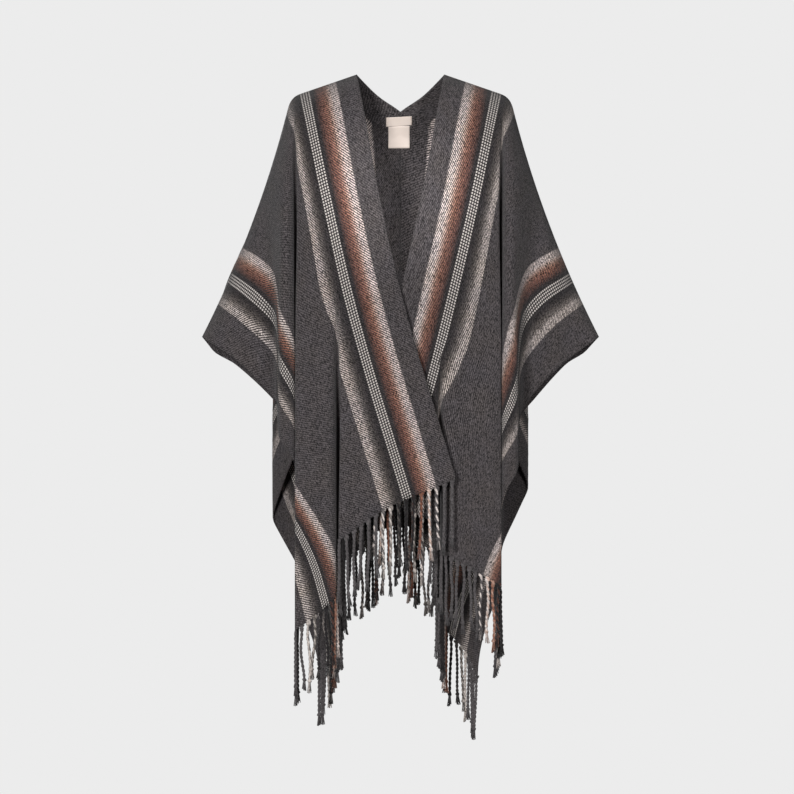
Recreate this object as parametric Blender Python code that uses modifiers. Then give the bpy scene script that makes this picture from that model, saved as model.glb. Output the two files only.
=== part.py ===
"""An Andean poncho of the ruana kind, open down the front and filled out as it is worn.

One length of striped cloth is slit from the front hem to just behind the shoulder line. It hangs in
three panels that part at the shoulder: a right front, a left front under it, and the back. Both ends of
the warp are knotted into a fringe. The frame is +Z up with the wearer facing -Y and the wearer's left at
+X, and its origin lies midway between the two neck points. Lengths are millimetres until a mesh is made.

The cloth is laid out in two steps. A point of it, given by its distance across from the slit and its
share along from shoulder to hem, is first placed on an unrolled sheet as a run and a height. The sheet is
then folded: at each height the run follows a plan section that turns in and out at each fold.
"""

import math
from collections import namedtuple
from functools import partial

import bmesh
import bpy
import numpy as np
from mathutils import Vector
from mathutils.bvhtree import BVHTree

METRES = 0.001

# The cloth as it is woven.
HALF_WIDTH = 648.0
WARP_LENGTH = 860.0
WALL = 2.4
GAP = 0.3
SHOULDER_GAPS = (0.5, 1.6)  # from the shoulder line to each panel's edge, at the neck and at the sleeve's end
HEM_GAP = 1.7  # along the warp, less across a hem that runs at a slant

# The shoulder line, seen from the front: neck, sloping shoulder, bend, arm.
NECK_HALF_WIDTH = 87.0
SHOULDER_LENGTH = 138.0
SHOULDER_BEND = 44.0
SHOULDER_SLOPE = math.radians(19.0)
ARM_SLOPES = (math.radians(76.3), math.radians(63.0))  # under the shoulder and at the sleeve's end
LEAST_ROLL = 25.0
MOST_ROLL = 75.0

# The slit runs on behind the shoulder to a V at the back of the neck. The cloth's edges there are pulled
# straight down to the slit's end, and the pull fades away across the back.
SLIT_SHARE = 0.13
NECK_DROP = 71.0
NECK_STRAIGHT = 110.0

# The fringe: a strip along the hem with a strand at each pitch.
STRIP_HEIGHT = 6.0
STRAND_PITCH = 17.5
STRAND_WIDTH = 5.6
STRAND_LENGTH = 126.0
STRAND_UNEVEN = 9.0
STRAND_LEAN = 3.0
STRAND_MARGIN = 3.0
# Lengths and leans differ from strand to strand: each pace is in radians a strand, and LEAN_OFF is the lean
# in depth against that in width.
UNEVEN_PACE = 2.4
LEAN_PACES = (1.7, 2.9)
LEAN_OFF = 0.5
WIDTH_ROOM = 0.62  # of the distance to the next strand, for a strand's width and for its lean
LEAN_ROOM = 0.08

# Mesh columns across one panel, and rows down it.
FRONT_COLUMNS = 28
BACK_COLUMNS = 26
ROWS = 20
SLIT_ROW = 5

# The grid of heights and runs on which each plan section is worked out.
RUN_START, RUN_END, RUN_STEP = -140.0, 780.0, 4.0
HEIGHT_TOP, HEIGHT_END, HEIGHT_STEP = 60.0, -1300.0, 10.0
RIDGE_SAMPLES = 650
RIDGE_KNOTS = 60

# A plan section slants back as it leaves the centre, up to MOST_SLANT of its far slope. The slant eases away
# by EASED of it over EASE_SPAN below EASE_TOP, where the cloth hangs free of the shoulders.
FAR = 200.0
MOST_SLANT = 1.3
EASED = 0.45
EASE_TOP, EASE_SPAN = 100.0, 400.0

# A fold of the section. A valley turns in and comes out again, an overlap turns back behind itself.
# at: distance out from the centre. top and full: heights where it starts and is fully formed.
# hidden: cloth that it takes up. turn: how far it swings, in degrees.
Fold = namedtuple("Fold", "kind at top full hidden turn")

# A wall of a fold is longer than sharp turns would make it by its share of room, and each turn is spread
# over its soft share of the wall. A fold's turn grows with the power QUICKNESS of its size.
VALLEY_ROOM, VALLEY_SOFT = 1.12, 0.5
OVERLAP_ROOM, OVERLAP_SOFT = 1.1, 0.85
QUICKNESS = 0.3
LEAST_HIDDEN = 1e-3

# A warp thread: distance across from the slit, length from shoulder to hem, and its (run, height)
# at each of its quarter's stations, which are shares of the way from shoulder to hem.
Warp = namedtuple("Warp", "across length places")

# One panel on one side of the centre. depths: (height, distance of the middle from the wearer's
# mid-plane). slopes: the section's slant near the centre and FAR out, in degrees.
Quarter = namedtuple("Quarter", "side facing slopes depths folds stations warps")

FRONT_RIGHT = Quarter(
    side=-1,
    facing=-1,
    slopes=(0.5, 3.5),
    depths=((0, 50), (-50, 70), (-100, 88), (-200, 116), (-300, 132), (-450, 142), (-700, 146), (-1200, 140)),
    folds=(
        Fold("valley", 128, -440, -1000, 178, 80),
        Fold("valley", 212, -100, -600, 160, 80),
        Fold("overlap", 248, -140, -560, 58, 84),
    ),
    stations=(0.15, 0.275, 0.52, 1.0),
    warps=(
        Warp(0, 860, ((73, -77), (53, -193), (6, -413), (-109, -806))),
        Warp(163, 850, ((211, -142), (188, -259), (144, -484), (32, -866))),
        Warp(258, 850, ((242, -216), (228, -325), (222, -540), (111, -920))),
        Warp(454, 830, ((403, -389), (378, -480), (372, -678), (283, -1024))),
        Warp(568, 815, ((516, -492), (480, -569), (445, -742), (360, -1086))),
        Warp(648, 800, ((576, -570), (538, -636), (480, -785), (425, -1130))),
    ),
)

FRONT_LEFT = Quarter(
    side=1,
    facing=-1,
    slopes=(0.5, 3.5),
    depths=((0, 50), (-50, 70), (-100, 88), (-200, 114), (-300, 124), (-450, 124), (-700, 124), (-1200, 122)),
    folds=(
        Fold("valley", 80, -520, -1000, 134, 80),
        Fold("valley", 203, -100, -600, 174, 80),
        Fold("overlap", 240, -140, -720, 70, 86),
    ),
    stations=(0.15, 0.275, 0.52, 1.0),
    warps=(
        Warp(0, 860, ((73, -77), (53, -192), (6, -413), (-80, -818))),
        Warp(163, 850, ((211, -142), (188, -259), (144, -483), (40, -880))),
        Warp(258, 850, ((242, -216), (226, -325), (222, -540), (150, -920))),
        Warp(454, 830, ((392, -393), (371, -488), (374, -690), (300, -998))),
        Warp(568, 815, ((506, -497), (474, -579), (446, -755), (370, -1040))),
        Warp(648, 800, ((568, -572), (530, -642), (488, -795), (415, -1075))),
    ),
)

BACK_DEPTHS = ((0, 50), (-71, 68), (-120, 92), (-200, 112), (-300, 120), (-450, 122), (-1250, 128))
BACK_MIDDLE = Warp(0, 955, ((45, -41), (0, -NECK_DROP), (0, -420), (0, -900)))

BACK_RIGHT = Quarter(
    side=-1,
    facing=1,
    slopes=(0.0, 3.5),
    depths=BACK_DEPTHS,
    folds=(
        Fold("valley", 60, -700, -1200, 156, 76),
        Fold("valley", 140, -380, -840, 164, 80),
        Fold("valley", 190, -140, -620, 100, 80),
        Fold("overlap", 238, -140, -700, 84, 92),
    ),
    stations=(0.08, SLIT_SHARE, 0.5, 1.0),
    warps=(
        BACK_MIDDLE,
        Warp(163, 960, ((210, -117), (195, -160), (158, -498), (145, -950))),
        Warp(258, 965, ((242, -202), (230, -245), (242, -553), (228, -990))),
        Warp(454, 975, ((400, -374), (378, -410), (385, -702), (380, -1080))),
        Warp(568, 985, ((508, -478), (486, -508), (462, -784), (460, -1140))),
        Warp(648, 990, ((588, -552), (566, -580), (512, -825), (488, -1180))),
    ),
)

BACK_LEFT = Quarter(
    side=1,
    facing=1,
    slopes=(0.0, 3.5),
    depths=BACK_DEPTHS,
    folds=(
        Fold("valley", 30, -660, -1200, 160, 76),
        Fold("valley", 92, -380, -860, 180, 80),
        Fold("valley", 190, -140, -620, 80, 80),
        Fold("overlap", 238, -140, -600, 84, 92),
    ),
    stations=(0.08, SLIT_SHARE, 0.5, 1.0),
    warps=(
        BACK_MIDDLE,
        Warp(163, 960, ((210, -117), (195, -160), (158, -498), (140, -950))),
        Warp(258, 965, ((242, -202), (230, -245), (242, -553), (222, -990))),
        Warp(454, 975, ((400, -374), (378, -410), (385, -702), (382, -1090))),
        Warp(568, 985, ((508, -478), (486, -508), (464, -784), (470, -1160))),
        Warp(648, 990, ((588, -552), (566, -580), (512, -830), (498, -1216))),
    ),
)

# The end of a strand below the strip: (share of its length, width). The bulge is the knot.
STRAND_RINGS = ((0.76, 5.4), (0.83, 8.8), (1.0, 7.6))

# Blank woven labels inside the back of the neck: node, middle across, top height, width, height.
Label = namedtuple("Label", "name middle top width height")
LABEL_THICKNESS = 1.0
LABEL_STAND = 0.9
LABEL_CELLS = 4
LABELS = (
    Label("neck_label", -3.0, -80.5, 52.0, 18.0),
    Label("care_label", -3.0, -100.5, 43.0, 42.0),
)


def smooth_step(x):
    x = np.clip(x, 0.0, 1.0)
    return x * x * (3.0 - 2.0 * x)


def smooth_through(x, knots, values):
    """A curve through the values at the knots, with no overshoot. A value may be an array like x."""
    x = np.asarray(x, float)
    values = np.array([np.broadcast_to(value, x.shape) for value in values], float)
    spans = np.diff(knots).reshape((-1,) + (1,) * x.ndim)
    slopes = np.diff(values, axis=0) / spans
    before, after = slopes[:-1], slopes[1:]
    agree = before * after > 0
    between = 2 * before * after / np.where(agree, before + after, 1.0)
    tangents = np.concatenate([slopes[:1], np.where(agree, between, 0.0), slopes[-1:]])
    span = np.clip(np.searchsorted(knots, x) - 1, 0, len(knots) - 2)

    def at(table, shift=0):
        return np.take_along_axis(table, span[None] + shift, axis=0)[0]

    width = np.diff(knots)[span]
    t = (x - np.asarray(knots, float)[span]) / width
    ends = at(values) * (1 + 2 * t) * (1 - t) ** 2 + at(values, 1) * t * t * (3 - 2 * t)
    leans = at(tangents) * t * (1 - t) ** 2 + at(tangents, 1) * t * t * (t - 1)
    return ends + width * leans


def ridge(across):
    """Distance out and height of the shoulder line, at a distance across the cloth from the slit."""
    fine = np.linspace(0.0, HALF_WIDTH, RIDGE_SAMPLES)
    bend = smooth_step((fine - SHOULDER_LENGTH + SHOULDER_BEND / 2) / SHOULDER_BEND)
    arm_slope = np.interp(fine, (SHOULDER_LENGTH, HALF_WIDTH), ARM_SLOPES)
    slope = SHOULDER_SLOPE + (arm_slope - SHOULDER_SLOPE) * bend
    step = np.diff(fine, prepend=0.0)
    out = NECK_HALF_WIDTH + np.cumsum(np.cos(slope) * step)
    height = -np.cumsum(np.sin(slope) * step)
    return np.interp(across, fine, out), np.interp(across, fine, height)


def fold_heading(fold, passed, run, height):
    """How far one fold turns the section at each run, and the cloth that it hides at each height."""
    grown = smooth_step((fold.top - height) / (fold.top - fold.full))
    hidden = np.maximum(fold.hidden * grown, LEAST_HIDDEN)
    turn = math.radians(fold.turn) * np.maximum(grown, 1e-6) ** QUICKNESS
    middle = run - fold.at - passed - hidden / 2
    if fold.kind == "valley":
        wall = VALLEY_ROOM * hidden / (2 * (1 - np.cos(turn)))
        soft = VALLEY_SOFT * wall
        steps = [smooth_step((middle + shift * wall) / soft + 0.5) for shift in (1, 0, -1)]
        return turn * (steps[0] - 2 * steps[1] + steps[2]), hidden
    wall = OVERLAP_ROOM * hidden / (1 - np.cos(turn))
    soft = OVERLAP_SOFT * wall
    steps = [smooth_step((middle + shift * wall) / soft + 0.5) for shift in (0.5, -0.5)]
    return turn * (steps[0] - steps[1]), hidden


def section_grid(quarter):
    """Runs, heights, and the distance out and depth of the folded sheet at each of them."""
    runs = np.arange(RUN_START, RUN_END, RUN_STEP)
    heights = np.arange(HEIGHT_TOP, HEIGHT_END, -HEIGHT_STEP)
    run, height = np.meshgrid(runs, heights)
    near, far = quarter.slopes
    slant = near + (far - near) * np.clip(run / FAR, 0.0, MOST_SLANT)
    heading = np.radians(slant * (1 - EASED * smooth_step((-height - EASE_TOP) / EASE_SPAN)))
    passed = np.zeros_like(height)
    for fold in quarter.folds:
        turned, hidden = fold_heading(fold, passed, run, height)
        heading = heading + turned
        passed = passed + hidden
    centre = int(round(-RUN_START / RUN_STEP))

    def summed(rate):
        total = np.cumsum((rate[:, 1:] + rate[:, :-1]) / 2 * RUN_STEP, axis=1)
        total = np.concatenate([np.zeros((len(heights), 1)), total], axis=1)
        return total - total[:, centre : centre + 1]

    levels, depths = zip(*quarter.depths)
    middle = np.interp(-height, -np.array(levels, float), depths)
    return runs, heights, summed(np.cos(heading)), middle - summed(np.sin(heading))


def look_up(grid, run, height):
    """Distance out and depth at any runs and heights, read between the grid's points."""
    runs, heights, out, depth = grid
    i = np.clip(((heights[0] - height) / HEIGHT_STEP).astype(int), 0, len(heights) - 2)
    j = np.clip(((run - runs[0]) / RUN_STEP).astype(int), 0, len(runs) - 2)
    down = (heights[i] - height) / HEIGHT_STEP
    along = (run - runs[j]) / RUN_STEP

    def between(table):
        upper = table[i, j] * (1 - along) + table[i, j + 1] * along
        lower = table[i + 1, j] * (1 - along) + table[i + 1, j + 1] * along
        return upper * (1 - down) + lower * down

    return between(out), between(depth)


def run_to(grid, out, height):
    """The outermost run at which the section, at each height, lies at a distance out."""
    runs = grid[0]
    found = []
    for distance, level in zip(out, height):
        row, _ = look_up(grid, runs, np.full(len(runs), level))
        last = min(np.nonzero(row <= distance)[0][-1], len(runs) - 2)
        share = (distance - row[last]) / (row[last + 1] - row[last])
        found.append(runs[last] + share * RUN_STEP)
    return np.array(found)


def fallen(along, length, roll):
    """Share of the fall from the shoulder that a warp has gone, after rolling over it."""
    turned = np.minimum(along * length / roll, math.pi / 2)
    drop = roll * (1 - np.cos(turned)) + np.maximum(along * length - roll * math.pi / 2, 0)
    return drop / (length - roll * (math.pi / 2 - 1)), np.sin(turned)


def drape(quarter, across, along):
    """World points, in millimetres, of the cloth's middle. along is 0 at the shoulder and 1 at the hem."""
    grid = section_grid(quarter)
    warp_across = [warp.across for warp in quarter.warps]
    knots = np.linspace(0.0, HALF_WIDTH, RIDGE_KNOTS)
    ridge_runs = run_to(grid, *ridge(knots))
    start_run = np.interp(across, knots, ridge_runs)
    start_height = ridge(across)[1]
    length = smooth_through(across, warp_across, [warp.length for warp in quarter.warps])
    roll = np.clip(look_up(grid, start_run, start_height)[1], LEAST_ROLL, MOST_ROLL)
    share, rolled = fallen(along, length, roll)
    neck_roll = np.clip(look_up(grid, ridge_runs[:1], np.zeros(1))[1], LEAST_ROLL, MOST_ROLL)
    shares, _ = fallen(np.array((0.0,) + quarter.stations), quarter.warps[0].length, neck_roll)
    places = [(start_run, start_height)]
    for index in range(len(quarter.stations)):
        runs, heights = zip(*[warp.places[index] for warp in quarter.warps])
        places.append(
            (smooth_through(across, warp_across, runs), smooth_through(across, warp_across, heights))
        )
    run = smooth_through(share, shares, [place[0] for place in places])
    height = smooth_through(share, shares, [place[1] for place in places])
    if quarter.facing > 0:
        slit_end = 1 + quarter.stations.index(SLIT_SHARE)
        pull = np.clip(1 - across / NECK_STRAIGHT, 0.0, 1.0) * (share < shares[slit_end])
        straight = start_run + (places[slit_end][0] - start_run) * share / shares[slit_end]
        run = run + pull * (straight - run)
    out, depth = look_up(grid, run, height)
    return np.stack([quarter.side * out, quarter.facing * depth * rolled, height], axis=-1)


def drape_back(across, along):
    """As drape, over the whole back: across is negative on the wearer's right."""
    right = drape(BACK_RIGHT, np.abs(across), along)
    left = drape(BACK_LEFT, np.abs(across), along)
    return np.where((across < 0)[:, None], right, left)


def row_share(row):
    """Share along of a mesh row: close together over the shoulder, and one of them at the slit's end."""
    return (row / ROWS) ** (math.log(SLIT_SHARE) / math.log(SLIT_ROW / ROWS))


def grid_coordinates(bm, columns, rows):
    """Whole-number column and row of each vertex of a fresh one by one grid."""
    places = np.array([vert.co[:2] for vert in bm.verts]) + 0.5
    return np.round(places * (columns, rows))


def panel_mesh(quarter, columns):
    """One quarter of the cloth as an open surface."""
    bm = bmesh.new()
    bmesh.ops.create_grid(bm, x_segments=columns, y_segments=ROWS, size=0.5)
    # These diagonals hang nearly straight down, so the folds follow them.
    bmesh.ops.triangulate(bm, faces=bm.faces[:], quad_method="FIXED")
    column, row = grid_coordinates(bm, columns, ROWS).T
    across = column / columns * HALF_WIDTH
    edge = np.interp(across, (0.0, HALF_WIDTH), SHOULDER_GAPS)
    along = np.maximum(row_share(row), edge / WARP_LENGTH)
    for vert, point in zip(bm.verts, drape(quarter, across, along)):
        vert.co = Vector(point) * METRES
    return bm


def add_object(name, bm, material, collection):
    mesh = bpy.data.meshes.new(name)
    bmesh.ops.recalc_face_normals(bm, faces=bm.faces)
    bm.to_mesh(mesh)
    bm.free()
    mesh.shade_smooth()
    obj = bpy.data.objects.new(name, mesh)
    obj.data.materials.append(material)
    collection.objects.link(obj)
    return obj


def add_wall(obj, thickness):
    """Gives an open surface its thickness, half to each side."""
    solidify = obj.modifiers.new("Wall", "SOLIDIFY")
    solidify.thickness = thickness * METRES
    solidify.offset = 0.0
    return obj


def make_front(name, quarter, material, collection):
    bm = panel_mesh(quarter, FRONT_COLUMNS)
    return add_wall(add_object(name, bm, material, collection), WALL)


def make_back(name, material, collection):
    """Both halves of the back, joined down the centre from the slit's end."""
    bm = panel_mesh(BACK_RIGHT, BACK_COLUMNS)
    left = panel_mesh(BACK_LEFT, BACK_COLUMNS)
    half = bpy.data.meshes.new("half")
    left.to_mesh(half)
    left.free()
    bm.from_mesh(half)
    bpy.data.meshes.remove(half)
    bmesh.ops.remove_doubles(bm, verts=bm.verts, dist=0.01 * METRES)
    return add_wall(add_object(name, bm, material, collection), WALL)


def room_around(root, roots):
    """Distance in millimetres, seen from above, from one strand's root to the nearest other."""
    return min((root.xy - other.xy).length for other in roots if other is not root) / METRES


def hang_strand(bm, face, root, room, index):
    """Draws one strand down from a face of the strip: a cord, its knot and its loose end."""
    tangent = max((edge.verts[1].co - edge.verts[0].co for edge in face.edges), key=lambda run: run.length)
    tangent = Vector((tangent.x, tangent.y, 0.0)).normalized()
    outward = Vector((-tangent.y, tangent.x, 0.0))
    length = STRAND_LENGTH + STRAND_UNEVEN * math.sin(UNEVEN_PACE * index)
    lean = Vector((math.sin(LEAN_PACES[0] * index), LEAN_OFF * math.cos(LEAN_PACES[1] * index), 0.0))
    lean *= min(STRAND_LEAN, LEAN_ROOM * room)
    for share, width in STRAND_RINGS:
        width = min(width, WIDTH_ROOM * room)
        face = bmesh.ops.extrude_discrete_faces(bm, faces=[face])["faces"][0]
        centre = root + (lean * share - Vector((0.0, 0.0, length * share))) * METRES
        middle = face.calc_center_median()
        for vert in face.verts:
            arm = vert.co - middle
            one = math.copysign(width / 2, arm.dot(tangent))
            other = math.copysign(width / 2, arm.dot(outward))
            vert.co = centre + (tangent * one + outward * other) * METRES


def below_hem(place, hem_columns, across, below):
    """Points below the straight-sided hem that a panel's columns make, at distances across and down."""
    upper = place(hem_columns, np.ones_like(hem_columns))
    lower = place(hem_columns, np.full_like(hem_columns, 1 + STRIP_HEIGHT / WARP_LENGTH))
    found = []
    for axis in range(3):
        top = np.interp(across, hem_columns, upper[:, axis])
        bottom = np.interp(across, hem_columns, lower[:, axis])
        found.append(top + (bottom - top) * below / STRIP_HEIGHT)
    return np.stack(found, axis=-1)


def make_fringe(name, place, start, hem_columns, material, collection):
    """A strip just below a hem, from start to HALF_WIDTH across, and the strands that hang from it."""
    count = int((HALF_WIDTH - start - 2 * STRAND_MARGIN - STRAND_WIDTH) / STRAND_PITCH) + 1
    used = (count - 1) * STRAND_PITCH + STRAND_WIDTH
    first = (start + HALF_WIDTH - used) / 2
    columns = 2 * count - 1
    bm = bmesh.new()
    bmesh.ops.create_grid(bm, x_segments=columns, y_segments=1, size=0.5)
    column, row = grid_coordinates(bm, columns, 1).T
    across = first + np.floor(column / 2) * STRAND_PITCH + (column % 2) * STRAND_WIDTH
    low = bm.verts.layers.int.new("low")
    cell = bm.verts.layers.int.new("cell")
    points = below_hem(place, hem_columns, across, HEM_GAP + row * STRIP_HEIGHT)
    for vert, point, r, c in zip(bm.verts, points, row, column):
        vert.co = Vector(point) * METRES
        vert[low] = int(r)
        vert[cell] = int(c)
    bmesh.ops.recalc_face_normals(bm, faces=bm.faces)
    bm.normal_update()
    for vert, normal in [(vert, vert.normal.copy()) for vert in bm.verts]:
        vert.co += normal * (WALL / 2) * METRES
    bmesh.ops.solidify(bm, geom=bm.faces[:], thickness=WALL * METRES)
    roots = [
        face
        for face in bm.faces
        if all(vert[low] for vert in face.verts)
        and max(vert[cell] for vert in face.verts) % 2 == 1
        and min(vert[cell] for vert in face.verts) % 2 == 0
    ]
    roots.sort(key=lambda face: min(vert[cell] for vert in face.verts))
    centres = [face.calc_center_median() for face in roots]
    for index, (face, root) in enumerate(zip(roots, centres)):
        hang_strand(bm, face, root, room_around(root, centres), index)
    return add_object(name, bm, material, collection)


def make_label(label, back, material, collection):
    """A blank label held just off the inside of the back."""
    tree = BVHTree.FromObject(back, bpy.context.evaluated_depsgraph_get())
    bm = bmesh.new()
    bmesh.ops.create_grid(bm, x_segments=LABEL_CELLS, y_segments=LABEL_CELLS, size=0.5)
    stand = (LABEL_STAND + LABEL_THICKNESS / 2) * METRES
    for vert in bm.verts:
        x = (label.middle + vert.co.x * label.width) * METRES
        z = (label.top + (vert.co.y - 0.5) * label.height) * METRES
        hit, normal, _, _ = tree.ray_cast(Vector((x, 0.0, z)), Vector((0.0, 1.0, 0.0)))
        vert.co = hit + normal * stand
    return add_wall(add_object(label.name, bm, material, collection), LABEL_THICKNESS)


def make_material(name, colour, roughness):
    material = bpy.data.materials.new(name)
    material.use_nodes = True
    shader = material.node_tree.nodes["Principled BSDF"]
    shader.inputs["Base Color"].default_value = (*colour, 1.0)
    shader.inputs["Roughness"].default_value = roughness
    shader.inputs["Metallic"].default_value = 0.0
    return material


def main():
    for obj in list(bpy.data.objects):
        bpy.data.objects.remove(obj)
    collection = bpy.data.collections.new("andean_poncho")
    bpy.context.scene.collection.children.link(collection)
    cloth = make_material("charcoal_wool_blend", (0.065, 0.062, 0.066), 0.92)
    cords = make_material("twisted_warp_ends", (0.045, 0.043, 0.047), 0.95)
    ribbon = make_material("cream_label_ribbon", (0.66, 0.60, 0.54), 0.7)
    make_front("front_right", FRONT_RIGHT, cloth, collection)
    make_front("front_left", FRONT_LEFT, cloth, collection)
    back = make_back("back", cloth, collection)
    front_hem = np.linspace(0.0, HALF_WIDTH, FRONT_COLUMNS + 1)
    back_hem = np.linspace(-HALF_WIDTH, HALF_WIDTH, 2 * BACK_COLUMNS + 1)
    for name, quarter in (("fringe_front_right", FRONT_RIGHT), ("fringe_front_left", FRONT_LEFT)):
        make_fringe(name, partial(drape, quarter), 0.0, front_hem, cords, collection)
    make_fringe("fringe_back", drape_back, -HALF_WIDTH, back_hem, cords, collection)
    bpy.context.view_layer.update()
    for label in LABELS:
        make_label(label, back, ribbon, collection)


if __name__ == "__main__":
    main()
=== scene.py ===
# %% [markdown]
# # A striped ruana: an Andean poncho that opens down the front
# The real garment is one length of wool-blend twill, woven 1.3 m wide and about 1.8 m long. A slit runs up
# from the front hem to just behind the shoulder, so the cloth hangs in a right front, a left front and a
# back. Both ends of the warp are twisted and knotted into a fringe. Nothing is sewn but two blank labels.
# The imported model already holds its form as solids. The cells below dress that form: one continuous
# thin cloth, its twisted fringe, the labels, and a material for each.

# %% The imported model
import functools
import math
from collections import namedtuple

import bmesh
import bpy
import numpy as np
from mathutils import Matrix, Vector
from mathutils.bvhtree import BVHTree


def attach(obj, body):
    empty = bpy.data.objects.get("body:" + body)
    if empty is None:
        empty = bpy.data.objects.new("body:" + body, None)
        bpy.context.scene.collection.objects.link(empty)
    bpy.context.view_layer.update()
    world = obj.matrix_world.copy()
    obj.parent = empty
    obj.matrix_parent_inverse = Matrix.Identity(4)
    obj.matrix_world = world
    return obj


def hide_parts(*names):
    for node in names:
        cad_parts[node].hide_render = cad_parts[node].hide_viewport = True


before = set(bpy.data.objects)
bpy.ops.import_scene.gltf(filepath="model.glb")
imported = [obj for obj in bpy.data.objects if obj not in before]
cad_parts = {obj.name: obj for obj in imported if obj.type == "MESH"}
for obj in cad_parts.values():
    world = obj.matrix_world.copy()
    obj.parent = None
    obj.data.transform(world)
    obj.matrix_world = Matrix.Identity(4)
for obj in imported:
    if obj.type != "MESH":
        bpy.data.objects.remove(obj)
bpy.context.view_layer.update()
METRES = 0.001  # the garment's own measures are millimetres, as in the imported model
print("nodes:", sorted(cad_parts))

# %% [markdown]
# ## Camera
# The garment is seen square on from the front, from far enough away that the near hems are hardly larger
# than the back. A long lens gives that. The frame is 1.588 m across at the middle of the garment.

# %% Camera
FIELD_WIDTH = 1.588
LENS = 250.0
SENSOR = 36.0
AIM = Vector((-0.007, 0.0, -0.644))

camera_data = bpy.data.cameras.new("front_camera")
camera_data.sensor_width = SENSOR
camera_data.lens = LENS
camera = bpy.data.objects.new("front_camera", camera_data)
camera_distance = FIELD_WIDTH * LENS / SENSOR
camera.location = AIM + Vector((0.0, -camera_distance, 0.0))
camera.rotation_euler = (math.radians(90.0), 0.0, 0.0)
camera_data.clip_end = 100.0
bpy.context.scene.collection.objects.link(camera)
bpy.context.scene.camera = camera
print("camera is %.2f m away" % camera_distance)

# %% [markdown]
# ## Helpers for materials
# Colours are written as the sRGB hex values that a swatch book gives, and turned to linear light by one
# function. A second small function adds any node, with its settings and its links, so that each material
# below reads as a list of what is mixed with what.

# %% Colour and node helpers
def linear(hex_colour):
    """Linear RGBA of an sRGB hex colour."""
    values = [int(hex_colour[i : i + 2], 16) / 255.0 for i in (1, 3, 5)]
    return tuple(v / 12.92 if v <= 0.04045 else ((v + 0.055) / 1.055) ** 2.4 for v in values) + (1.0,)


def add_node(tree, kind, inputs=(), **settings):
    """Adds a node. inputs is (socket, value) pairs, where a value may be a node, a socket or a number."""
    made = tree.nodes.new(kind)
    for name, value in settings.items():
        setattr(made, name, value)
    for socket, value in inputs:
        if isinstance(value, bpy.types.Node):
            value = value.outputs[0]
        if isinstance(value, bpy.types.NodeSocket):
            tree.links.new(value, made.inputs[socket])
        else:
            made.inputs[socket].default_value = value
    return made


def new_material(name, roughness, ior=1.5):
    """A material with its shader, ready for nodes."""
    material = bpy.data.materials.new(name)
    material.use_nodes = True
    shader = material.node_tree.nodes["Principled BSDF"]
    shader.inputs["Roughness"].default_value = roughness
    shader.inputs["Metallic"].default_value = 0.0
    shader.inputs["IOR"].default_value = ior
    return material, shader


def fill_ramp(ramp_node, stops):
    """Sets a colour ramp's stops from (position, linear colour) pairs in rising order."""
    elements = ramp_node.color_ramp.elements
    while len(elements) > 1:
        elements.remove(elements[0])
    elements[0].position, elements[0].color = stops[0]
    for position, colour in stops[1:]:
        elements.new(position).color = colour


# %% [markdown]
# ## The form of the cloth
# The fine cloth is draped in the two steps that shaped the solids, with the same tables for its warp threads,
# so that it lies on them. Its folds are as deep but steeper, and it has creases. A point of the flat cloth
# has a distance across from the slit and a share of the way from shoulder to hem. Tables for a few warp
# threads place it on an unrolled sheet as a run and a height. The sheet is then folded: at each height the
# run follows a plan section, which turns in and out at each fold.

# %% Measures of the cloth
HALF_WIDTH = 648.0
WALL = 2.4
NECK_HALF_WIDTH = 87.0
SHOULDER_LENGTH = 138.0
SHOULDER_BEND = 44.0
SHOULDER_SLOPE = math.radians(19.0)
ARM_SLOPES = (math.radians(76.3), math.radians(63.0))  # under the shoulder and at the sleeve's end
LEAST_ROLL = 25.0
MOST_ROLL = 75.0
SLIT_SHARE = 0.13
NECK_DROP = 71.0

RUN_START, RUN_END, RUN_STEP = -140.0, 780.0, 1.6
HEIGHT_TOP, HEIGHT_END, HEIGHT_STEP = 60.0, -1300.0, 10.0

# A valley turns in and comes out again, an overlap turns back behind itself. at: distance out from the
# centre. top and full: heights where it starts and is fully formed. hidden: cloth it takes up. turn: degrees.
# pace: under 1 it opens early between those heights, over 1 late.
Fold = namedtuple("Fold", "kind at top full hidden turn pace")

# A warp thread: distance across, length, and its (run, height) at each station, a share of the way down.
Warp = namedtuple("Warp", "across length places")

# One panel on one side. depths: (height, distance of the middle from the wearer's mid-plane).
Quarter = namedtuple("Quarter", "side facing slopes depths folds stations warps")

FRONT_RIGHT = Quarter(
    side=-1,
    facing=-1,
    slopes=(0.5, 3.5),
    depths=((0, 50), (-50, 70), (-100, 88), (-200, 116), (-300, 132), (-450, 142), (-700, 146), (-1200, 140)),
    folds=(
        Fold("valley", 128, -420, -1000, 178, 84, 1.0),
        Fold("valley", 212, -60, -640, 160, 87, 0.85),
        Fold("overlap", 248, -140, -560, 58, 84, 0.9),
    ),
    stations=(0.15, 0.275, 0.52, 1.0),
    warps=(
        Warp(0, 860, ((73, -77), (53, -193), (6, -413), (-109, -806))),
        Warp(163, 850, ((211, -142), (188, -259), (144, -484), (32, -866))),
        Warp(258, 850, ((242, -216), (228, -325), (222, -540), (111, -920))),
        Warp(454, 830, ((403, -389), (378, -480), (372, -678), (283, -1024))),
        Warp(568, 815, ((516, -492), (480, -569), (445, -742), (360, -1086))),
        Warp(648, 800, ((576, -570), (538, -636), (480, -785), (425, -1130))),
    ),
)

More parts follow.
